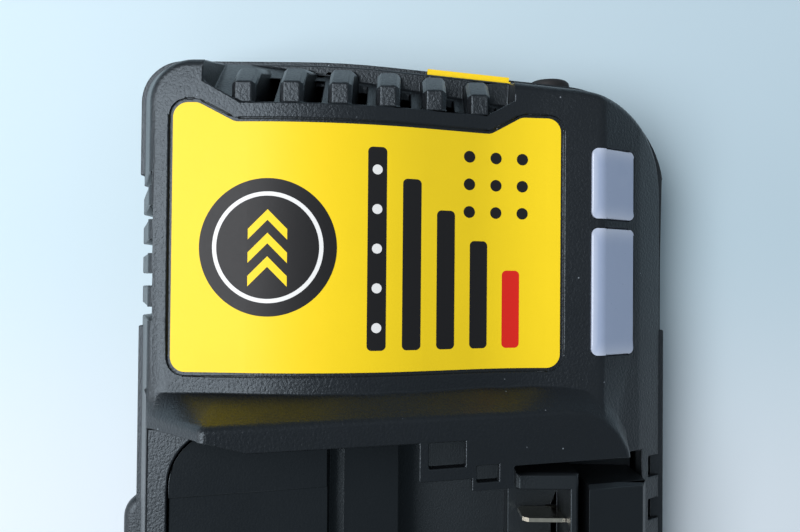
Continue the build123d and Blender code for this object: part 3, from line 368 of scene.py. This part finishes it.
def moulded(name, radius):
    bpy.ops.object.select_all(action="DESELECT")
    mesh = nodes[name].data.copy()
    piece = bpy.data.objects.new(name + "_moulded", mesh)
    bpy.context.collection.objects.link(piece)
    piece.select_set(True)
    bpy.context.view_layer.objects.active = piece
    bpy.ops.mesh.customdata_custom_splitnormals_clear()
    bpy.ops.object.mode_set(mode="EDIT")
    bpy.ops.mesh.select_all(action="SELECT")
    bpy.ops.mesh.remove_doubles(threshold=mergeWithin)
    bpy.ops.object.mode_set(mode="OBJECT")
    bpy.ops.object.shade_smooth_by_angle(angle=radians(smoothAngle))
    draft = bmesh.new()
    draft.from_mesh(mesh)
    weight = draft.edges.layers.float.new("bevel_weight_edge")
    for edge in draft.edges:
        sharp = edge.is_manifold and edge.calc_face_angle() > radians(edgeAngle)
        edge[weight] = 1.0 if sharp and edge.calc_length() > shortest else 0.0
    draft.to_mesh(mesh)
    draft.free()
    bevel = piece.modifiers.new("rounding", "BEVEL")
    bevel.width = radius
    bevel.segments = 2
    bevel.limit_method = "WEIGHT"
    bevel.use_clamp_overlap = False
    bevel.harden_normals = True
    bpy.ops.object.modifier_apply(modifier=bevel.name)
    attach(piece, "root")
    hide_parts(name)
    return piece


for name, edge in edges.items():
    piece = moulded(name, edge["radius"])
    print("moulded:", name, len(piece.data.polygons), "faces")


# floor, bluer to one side and whiter to the other; on the blue side painted shade makes it darker towards -Y
floor = {"size": 6.0, "blue": (0.59, 0.73, 0.79), "paintedShade": (0.53, 0.67, 0.74), "white": (0.70, 0.78, 0.83),
         "middle": 0.0, "blur": 0.05, "rough": 0.8, "clouds": 1.5, "cloudShare": 0.2,
         "slope": 5.0, "start": 0.4}
bpy.ops.object.select_all(action="DESELECT")
bpy.ops.mesh.primitive_plane_add(size=floor["size"], location=(0, 0, 0))
ground = bpy.context.object
ground.name = "floor"
paint = Shader("floorPaint")
floorX, floorY, floorZ = paint.axes()
cloud = paint.noise(floor["clouds"])
fade = ((floorX - floor["middle"]) / floor["blur"]).scaled(0.5, 0.5)
smooth = fade * fade * (3.0 - fade * 2.0)
# painted shade: darker towards -Y, broken up by soft clouds
backShare = (floorY * floor["slope"] + cloud * floor["cloudShare"]).scaled(1.0, floor["start"])
blueWithPaintedShade = paint.blend(backShare, floor["paintedShade"], floor["blue"])
paint.set(colour=paint.blend(smooth, floor["white"], blueWithPaintedShade), rough=floor["rough"])
ground.data.materials.append(paint.material)

world = bpy.data.worlds.new("room")
bpy.context.scene.world = world
world.use_nodes = True
room = {"colour": (0.76, 0.87, 0.97), "strength": 0.27}
sky = world.node_tree.nodes["Background"]
sky.inputs[0].default_value = (*room["colour"], 1.0)
sky.inputs[1].default_value = room["strength"]

# soft lamps, sizes in metres
lamps = [
    {"name": "softboxTop", "at": (0.1, 0.5, 0.88), "to": (0, 0, 0.03), "size": (0.9, 0.6), "watts": 11.0},
    {"name": "softboxBack", "at": (0.0, 0.95, 0.4), "to": (0, 0, 0.03), "size": (0.8, 0.4), "watts": 2.5},
    {"name": "softboxLeft", "at": (-0.75, 0.35, 0.4), "to": (0, 0, 0.04), "size": (0.5, 0.4), "watts": 0.45},
    {"name": "softboxFront", "at": (0.3, -0.65, 0.8), "to": (0, 0, 0.04), "size": (0.4, 0.4), "watts": 0.15},
]
lampColour = (0.97, 0.97, 1.0)
for lamp in lamps:
    light = bpy.data.lights.new(lamp["name"], "AREA")
    light.shape = "RECTANGLE"
    light.size, light.size_y = lamp["size"]
    light.energy = lamp["watts"]
    light.color = lampColour
    holder = bpy.data.objects.new(lamp["name"], light)
    bpy.context.collection.objects.link(holder)
    holder.location = lamp["at"]
    aim = Vector(lamp["to"]) - Vector(lamp["at"])
    holder.rotation_euler = aim.to_track_quat("-Z", "Y").to_euler()

# a camera that looks almost straight down, with the row's +X up its picture
lens = {"focal": 36.0, "sensor": 36.0, "above": (0.033, -0.0016, 0.058), "distance": 0.190,
        "tilt": -0.94, "roll": -0.49, "near": 0.01}
turn = Matrix.Rotation(radians(lens["roll"]), 3, "Z") @ Matrix.Rotation(radians(lens["tilt"]), 3, "X")
pictureToRow = Matrix(((0, 1, 0), (-1, 0, 0), (0, 0, 1)))
axes = pictureToRow @ turn.transposed()
eye = bpy.data.cameras.new("eye")
eye.lens = lens["focal"]
eye.sensor_width = lens["sensor"]
eye.clip_start = lens["near"]
watcher = bpy.data.objects.new("eye", eye)
bpy.context.collection.objects.link(watcher)
spot = Vector(lens["above"]) + axes @ Vector((0, 0, lens["distance"]))
watcher.matrix_world = Matrix.Translation(spot) @ axes.to_4x4()
bpy.context.scene.camera = watcher
bpy.context.scene.view_settings.view_transform = "Standard"
print("camera at", [round(v, 4) for v in spot])
